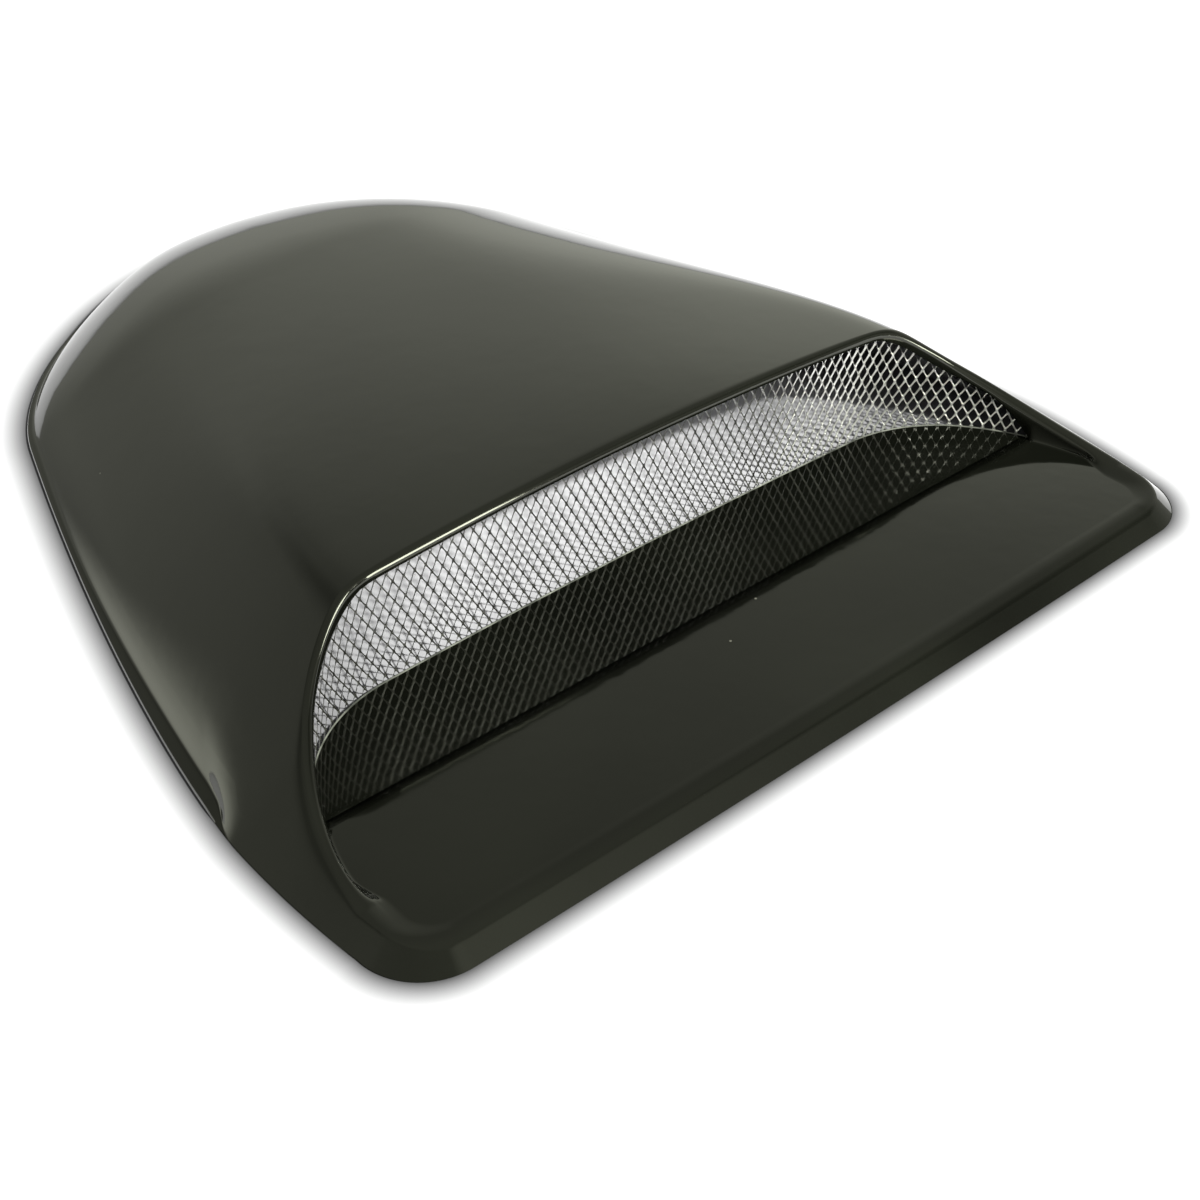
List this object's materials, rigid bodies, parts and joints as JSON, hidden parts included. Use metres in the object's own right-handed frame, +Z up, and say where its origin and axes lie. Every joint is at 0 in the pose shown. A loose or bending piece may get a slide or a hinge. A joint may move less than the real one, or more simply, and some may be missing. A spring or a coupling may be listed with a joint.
{
  "type": "bonnet scoop",
  "caption": "Wide low bonnet scoop: a crowned gloss black shell with a rounded tail, a full-width mouth over a flat ramp and a diamond mesh behind the lip.",
  "frame": {"origin": "centre of the base outline's box, in the plane of the base", "axes": "+Z up from the bonnet, -Y towards the mouth and the front of the car, +X to the right seen from the front"},
  "size_m": [0.4742, 0.5379, 0.0683],
  "materials": {
    "shell": "glossy black moulded sheet",
    "mesh": "bright expanded metal"
  },
  "bodies": {
    "root": {"scoop_shell": "shell", "mesh_insert": "mesh"}
  },
  "joints": []
}
